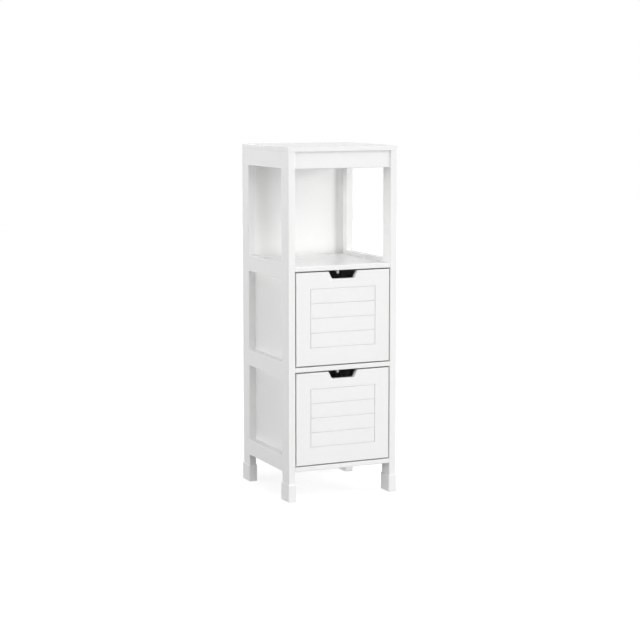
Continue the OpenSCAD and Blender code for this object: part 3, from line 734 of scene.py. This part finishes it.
pegs = made_at("drawer_stops_turned", peg, [((*peg_place, foot), up, behind) for foot in peg_feet])
mark_eased(pegs.data)
fitted(pegs, "cabinet", "drawer_stops")


# Stop screws. Two countersunk screws of zinc plated steel with a cross recess. Each goes up
# through its peg and 8 mm into the board above.
stop_screw_long, screw_pitch, head_play = 0.020, 0.0014, 0.00005

# A screw along z, its point below and its head's face at the origin
screw, (long, thick, head), places, out = shape_rules("countersunk screw", {
    "Length": stop_screw_long, "Thickness": screw_thick, "Head width": screw_head_wide})
cone = (head - thick) / 2.0
shank = turned(screw, 28, [
    (-long, thick * 0.08), (thick * 0.9 - long, thick * 0.34),
    (-(cone + thick * 1.2), thick * 0.36), (-(cone + thick), thick / 2.0), (-cone, thick / 2.0),
    (cone * -0.12, head * 0.47), (cone * -0.04, head / 2.0 - head_play),
    (0.0, head * 0.47)])
recess_long, recess_wide, recess_tall = head * 0.56, head * 0.12, head * 0.3
cross = [bar(screw, recess_long, recess_wide, recess_tall, spot_at(screw), turn)
         for turn in (0.0, pi / 2)]
set_at_places(screw, places, together(
    screw, cut_away(screw, shank, *cross),
    thread(screw, thick * 0.8 - long, -(cone + thick * 1.4), thick, screw_pitch)), zinc, out)
places = [((*peg_place, foot - peg_tall), down, behind) for foot in peg_feet]
fastened("drawer_stop_screws", "driven", screw, places)


# Drawer sides and backs. 12 mm particleboard with white melamine on its faces and long edges,
# grooved for the bottom. The sides run past the back, and their cut ends are left raw.
drawer_rounding = 0.00025
melamine = coated("white melamine board", (0.885, 0.885, 0.877, 1), (0.83, 0.82, 0.80, 1),
                  gloss=(0.34, 0.44), peel=6e-6, ripple=4e-6, cloud_size=0.25,
                  peel_size=0.0005)
particleboard = raw_board("raw particleboard", light=(0.50, 0.37, 0.23, 1),
                          dark=(0.27, 0.175, 0.10, 1), chip=0.0016, deep=1.5e-4)
for level in drawer_levels:
    for name, way in (("side_left", x_way), ("side_right", x_way), ("back", y_way)):
        node = f"{level}_drawer_{name}"
        board = sanded(sawn(node, f"{node}_faced"), drawer_rounding)
        faced(board, melamine, particleboard, (way, z_way), drawer_rounding)
        fitted(board, f"{level}_drawer", node)


# Drawer bottoms. Two sheets of the same 3 mm hardboard as the back panel. Each is held in
# grooves on all four sides, in the drawer's front, sides and back.
for level in drawer_levels:
    sheet_cut(f"{level}_drawer_bottom", f"{level}_drawer", z_way)


# Drawer fronts. 12 mm fibreboard, set into the openings. A frame of routed lines holds four
# plain fields, and a cut-out at the top edge serves as the handle. Lacquered like the posts.
line_fields, line_wide, line_deep, line_rounding = 4, 0.002, 0.003, 0.0002
line_side_margin, line_top_margin, line_low_margin = 0.0395, 0.042, 0.045
cut_top, cut_low, cut_deep, cut_corner = 0.081, 0.061, 0.0185, 0.004
front_rounding, front_back_rounding = 0.0008, 0.0003
drawer_tall, run_clear, join_within = 0.2327, 0.0003, 1e-5
front_bolt_out, front_bolt_edge, bore_slack = 0.1215, 0.036, 0.0005
floor_slot_wide, floor_slot_deep, floor_slot_tall, floor_slot_up = 0.241, 0.005, 0.0031, 0.010


def front_outline(wide, tall):
    """The front's outline in x and z, anticlockwise from its lower left corner."""
    lean = atan((cut_top - cut_low) / 2 / cut_deep)
    tangent = cut_corner / tan(pi / 4 + lean / 2)
    turns = [-lean - (pi / 2 - lean) * step / 5 for step in range(6)]
    arc = [(cut_low / 2 - tangent + cut_corner * cos(turn),
            tall - cut_deep + cut_corner + cut_corner * sin(turn)) for turn in turns]
    right = [(wide / 2, 0), (wide / 2, tall), (cut_top / 2, tall)] + arc
    return [(-x, z) for x, z in right[:1]] + right + [(-x, z) for x, z in right[:0:-1]]


def drawn_in(outline, by):
    """The outline, moved inwards by a distance all round."""
    moved = []
    for i, here in enumerate(outline):
        before, after = Vector(outline[i - 1]), Vector(outline[(i + 1) % len(outline)])
        one, two = (Vector(here) - before).normalized(), (after - Vector(here)).normalized()
        inward = (Vector((-one.y, one.x)) + Vector((-two.y, two.x))) / (1 + one.dot(two))
        moved.append(Vector(here) + inward * by)
    return moved


def front_rim(name, low, high):
    """The front's skin without its fields: its edges, its back and the face round the lines."""
    wide, thick, tall = high - low
    middle = (low.x + high.x) / 2
    outline = front_outline(wide, tall)
    skin = bmesh.new()

    def ring(points, depth):
        return [skin.verts.new((middle + x, low.y + depth, low.z + z)) for x, z in points]

    rims = []
    for turn in (0, pi / 6, pi / 3, pi / 2):
        rims.append(ring(drawn_in(outline, front_rounding * (1 - sin(turn))),
                         front_rounding * (1 - cos(turn))))
    for turn in (pi / 2, pi / 4, 0):
        rims.append(ring(drawn_in(outline, front_back_rounding * (1 - sin(turn))),
                         thick - front_back_rounding * (1 - cos(turn))))
    for one, two in zip(rims, rims[1:]):
        for i in range(len(one)):
            skin.faces.new((one[i - 1], two[i - 1], two[i], one[i]))
    skin.faces.new(reversed(rims[-1]))

    half_wide, foot, head = wide / 2 - line_side_margin, line_low_margin, tall - line_top_margin
    lines = []
    for out_by, depth in ((line_wide / 2 + line_rounding, 0),
                          (line_wide / 2 * (1 - line_rounding / line_deep), line_rounding),
                          (0, line_deep)):
        x, z_low, z_high = half_wide + out_by, foot - out_by, head + out_by
        lines.append(ring([(-x, z_low), (x, z_low), (x, z_high), (-x, z_high)], depth))
    face, corners = rims[0], lines[0]
    lower_left, lower_right, upper_right, upper_left = face[0], face[1], face[2], face[-1]
    skin.faces.new((lower_left, lower_right, corners[1], corners[0]))
    skin.faces.new((lower_right, upper_right, corners[2], corners[1]))
    skin.faces.new(face[2:] + [corners[3], corners[2]])
    skin.faces.new((upper_left, lower_left, corners[0], corners[3]))
    for i in range(4):
        skin.faces.new((lines[0][i - 1], lines[0][i], lines[1][i], lines[1][i - 1]))
    steps = [foot + (head - foot) * step / line_fields for step in range(1, line_fields)]
    right = ring([(half_wide, z) for z in steps], line_deep)
    left = ring([(-half_wide, z) for z in reversed(steps)], line_deep)
    upper, lowest = lines[1:]
    for i, ends in ((1, []), (2, right), (3, []), (0, left)):
        skin.faces.new((upper[i - 1], upper[i], lowest[i], *reversed(ends), lowest[i - 1]))
    return skinned(name, skin)


# The fields rise between the routed lines, one above the other, and the whole is then bored
# for the bolts and grooved for the drawer's bottom. The sizes without a number here are set
# for each drawer.
routed, sizes, rim, out = shape_rules("routed drawer front", {
    "Fields": line_fields, "Line width": line_wide, "Line depth": line_deep,
    "Line rounding": line_rounding, "Bolt thickness": bolt_thick + hole_play,
    "Bolt depth": bolt_screwed + bore_slack, "Groove width": floor_slot_wide,
    "Groove depth": floor_slot_deep, "Groove height": floor_slot_tall, **dict.fromkeys((
        "Field width", "Field height", "Face", "Lowest line", "Back", "Bolt height",
        "Bolt step", "Bolt spread", "Groove foot"))})
(fields, line, deep, soft, bore_wide, bore_deep, groove_wide, groove_deep, groove_tall,
 wide, tall, face, lowest, back, bolt_height, bolt_step, bolt_spread, groove_foot) = sizes
sheet = add(routed, "GeometryNodeMeshGrid", {
    "Size X": wide, "Size Y": tall, "Vertices X": 2, "Vertices Y": 2}).outputs[0]

# Each rise lifts the top of the one before it and draws it in from the lines
lower_inset = line / 2.0 - line / 2.0 * soft / deep
top = True
for rise, inset in ((deep - soft, lower_inset), (soft, line / 2.0 + soft - lower_inset)):
    raised = add(routed, "GeometryNodeExtrudeMesh", {
        "Mesh": sheet, "Selection": top, "Offset Scale": rise})
    here = add(routed, "ShaderNodeSeparateXYZ", {
        0: routed.nodes.new("GeometryNodeInputPosition").outputs[0]})
    inward = [Size(routed, calculated(routed, "SIGN", here.outputs[way])) * -inset
              for way in (x_way, y_way)]
    sheet = add(routed, "GeometryNodeSetPosition", {
        "Geometry": raised.outputs["Mesh"], "Selection": raised.outputs["Top"],
        "Offset": spot_at(routed, *inward)}).outputs[0]
    top = raised.outputs["Top"]
line_up = add(routed, "GeometryNodeMeshLine", {
    "Count": fields, "Start Location": spot_at(routed, y=tall / 2.0),
    "Offset": spot_at(routed, y=tall)})
copies = add(routed, "GeometryNodeInstanceOnPoints", {
    "Points": line_up.outputs[0], "Instance": sheet})
copies = add(routed, "GeometryNodeRealizeInstances", {"Geometry": copies.outputs[0]})
standing = shifted(
    routed, copies.outputs[0], spot_at(routed, y=face + deep, z=lowest), (pi / 2, 0, 0))
whole = add(routed, "GeometryNodeMergeByDistance", {
    "Geometry": together(routed, rim, standing), "Distance": join_within})
bores = []
for side in sides:
    for step in sides:
        drill = turned(routed, 24, [(-bore_deep, bore_wide / 2.0),
                                    (bore_deep * 0.2, bore_wide / 2.0)])
        middle = spot_at(routed, bolt_spread * (side / 2), back,
                         bolt_height + bolt_step * (step / 2))
        bores.append(shifted(routed, drill, middle, (-pi / 2, 0, 0)))
groove = bar(routed, groove_wide, groove_deep * 2.0, groove_tall,
             spot_at(routed, y=back, z=groove_foot + groove_tall / 2.0))
finished(routed, cut_away(routed, whole.outputs[0], groove, *bores), lacquer, out)

for level, opening_foot in drawer_levels.items():
    node = f"{level}_drawer_front"
    low, high = (Vector(corner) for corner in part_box(node))
    wide, thick, tall = high - low
    box_foot = opening_foot + run_clear
    lined = tall - line_low_margin - line_top_margin
    front = made_by(front_rim(f"{node}_routed", low, high), routed, **{
        "Field width": wide - 2 * line_side_margin, "Field height": lined / line_fields,
        "Face": low.y, "Back": high.y, "Lowest line": low.z + line_low_margin,
        "Bolt spread": 2 * front_bolt_out, "Bolt height": box_foot + drawer_tall / 2,
        "Bolt step": drawer_tall - 2 * front_bolt_edge,
        "Groove foot": box_foot + floor_slot_up})
    mark_eased(front.data)
    fitted(front, f"{level}_drawer", node)


# Drawer fittings. The same bolts, locks and screws of zinc plated steel: a drawer's sides are
# cammed to its front, and two screws on each side hold its back.
front_back, drawer_side_out, drawer_back_middle = -0.138, 0.1275, 0.116
drawer_screw_edge, drawer_screw_long = 0.040, 0.030
for level, opening_foot in drawer_levels.items():
    body, foot = f"{level}_drawer", opening_foot + run_clear
    bolts, locks, screws = [], [], []
    for side in sides:
        out_way = (side, 0, 0)
        for height in (foot + front_bolt_edge, foot + (drawer_tall - front_bolt_edge)):
            bolts.append(((side * front_bolt_out, front_back, height), ahead, up))
            locks.append(((side * front_bolt_out, front_back + cam_reach, height),
                          out_way, ahead))
        for height in (foot + drawer_screw_edge, foot + (drawer_tall - drawer_screw_edge)):
            screws.append(((side * drawer_side_out, drawer_back_middle, height), out_way, up))
    fastened(f"{body}_cam_bolts", "threaded", bolt, bolts, body=body)
    fastened(f"{body}_cam_locks", "cast", lock, locks, body=body)
    fastened(f"{body}_screws", "driven", screw, screws, body=body, Length=drawer_screw_long)


# Stage. A pale floor that fades into a white background, under plain soft studio light: a wide
# lamp low in front, large lights low and high from the right, two low ones from the left, one
# from high in front and one from behind, and next to nothing from all round.
floor_size, floor_grey, floor_glow, floor_return = 16.0, 0.36, 0.85, 0.20
background_white, all_round = (1, 1, 1, 1), 0.01
seen_shares = ("Is Camera Ray", "Is Glossy Ray", "Is Transmission Ray")


def where_seen(tree):
    """1 where the eye, a gloss or a glass shows the stage, and 0 where it only gives light."""
    path = tree.nodes.new("ShaderNodeLightPath").outputs
    seen = path[seen_shares[0]]
    for share in seen_shares[1:]:
        seen = calculated(tree, "MAXIMUM", seen, path[share])
    return seen


def lit_or_seen(tree, gives, shows, end):
    """Ends the tree in one shader for the light that it gives and another for what shows."""
    both = add(tree, "ShaderNodeMixShader", {0: where_seen(tree), 1: gives, 2: shows})
    tree.links.new(both.outputs[0], tree.nodes[end].inputs["Surface"])


floor_material, tree, shader = blank_material("pale floor")
tree.nodes.remove(shader)
dim, shaded = [add(tree, "ShaderNodeBsdfDiffuse", {"Color": (grey, grey, grey, 1)}).outputs[0]
               for grey in (floor_return, floor_grey)]
glow = add(tree, "ShaderNodeEmission", {"Color": background_white, "Strength": floor_glow})
bright = add(tree, "ShaderNodeAddShader", {0: shaded, 1: glow.outputs[0]})
lit_or_seen(tree, dim, bright.outputs[0], "Material Output")

floor_mesh = bpy.data.meshes.new("floor")
half = floor_size / 2
floor_mesh.from_pydata(
    [(-half, -half, 0), (half, -half, 0), (half, half, 0), (-half, half, 0)], [], [(0, 1, 2, 3)])
floor_mesh.materials.append(floor_material)
floor = in_scene("floor", floor_mesh)

world = bpy.data.worlds.new("white studio")
bpy.context.scene.world = world
world.use_nodes = True
tree = world.node_tree
light = tree.nodes["Background"]
light.inputs["Color"].default_value = background_white
light.inputs["Strength"].default_value = all_round
shown = add(tree, "ShaderNodeBackground", {"Color": background_white, "Strength": 1.0})
lit_or_seen(tree, light.outputs[0], shown.outputs[0], "World Output")


def aimed(name, data, place, target):
    """A lamp at a place, turned to a target."""
    made = in_scene(name, data)
    made.location = place
    made.rotation_euler = (Vector(target) - Vector(place)).to_track_quat("-Z", "Y").to_euler()
    return made


# Each light: its turn to the right of the front, its height above the floor and its spread,
# all in degrees, and its strength
light_distance = 4
studio_lights = {
    "low front right light": (45, 6, 20, 1.33),
    "high right light": (70, 35, 40, 1.47),
    "low left light": (-75, 6, 24, 1.17),
    "left rear light": (-120, 6, 40, 1.07),
    "high front light": (0, 60, 50, 1.01),
    "low rear light": (180, 5, 30, 1.15),
}
for name, (turn, rise, spread, strength) in studio_lights.items():
    lamp = bpy.data.lights.new(name, "SUN")
    lamp.energy = strength
    lamp.angle = radians(spread)
    turn, rise = radians(turn), radians(rise)
    way = Vector((sin(turn) * cos(rise), -cos(turn) * cos(rise), sin(rise)))
    aimed(name, lamp, way * light_distance, (0, 0, 0))

# A wide flat lamp stands low in front, and lights the cabinet evenly from head to foot. It puts
# no shine on the lacquer, so that a front seen head-on doesn't wash out.
lamp_wide, lamp_tall, lamp_watts = 2.0, 0.9, 41
lamp_place, lamp_target = (0, -4.5, 0.5), (0, 0, 0.55)
lamp = bpy.data.lights.new("front lamp", "AREA")
lamp.shape, lamp.size, lamp.size_y, lamp.energy = "RECTANGLE", lamp_wide, lamp_tall, lamp_watts
front_lamp = aimed("front lamp", lamp, lamp_place, lamp_target)
front_lamp.visible_camera = front_lamp.visible_glossy = False

# The camera stands to the left of the front, looks a little down and has a long lens
camera_place, camera_left, camera_down = (-1.8376, -4.0126, 1.0397), 24.66, 7.781
lens = bpy.data.cameras.new("camera")
lens.lens = 96.54
lens.sensor_width = 36
camera = in_scene("camera", lens)
camera.location = camera_place
camera.rotation_euler = (radians(90 - camera_down), 0, radians(-camera_left))
bpy.context.scene.camera = camera
bpy.context.scene.view_settings.view_transform = "Standard"
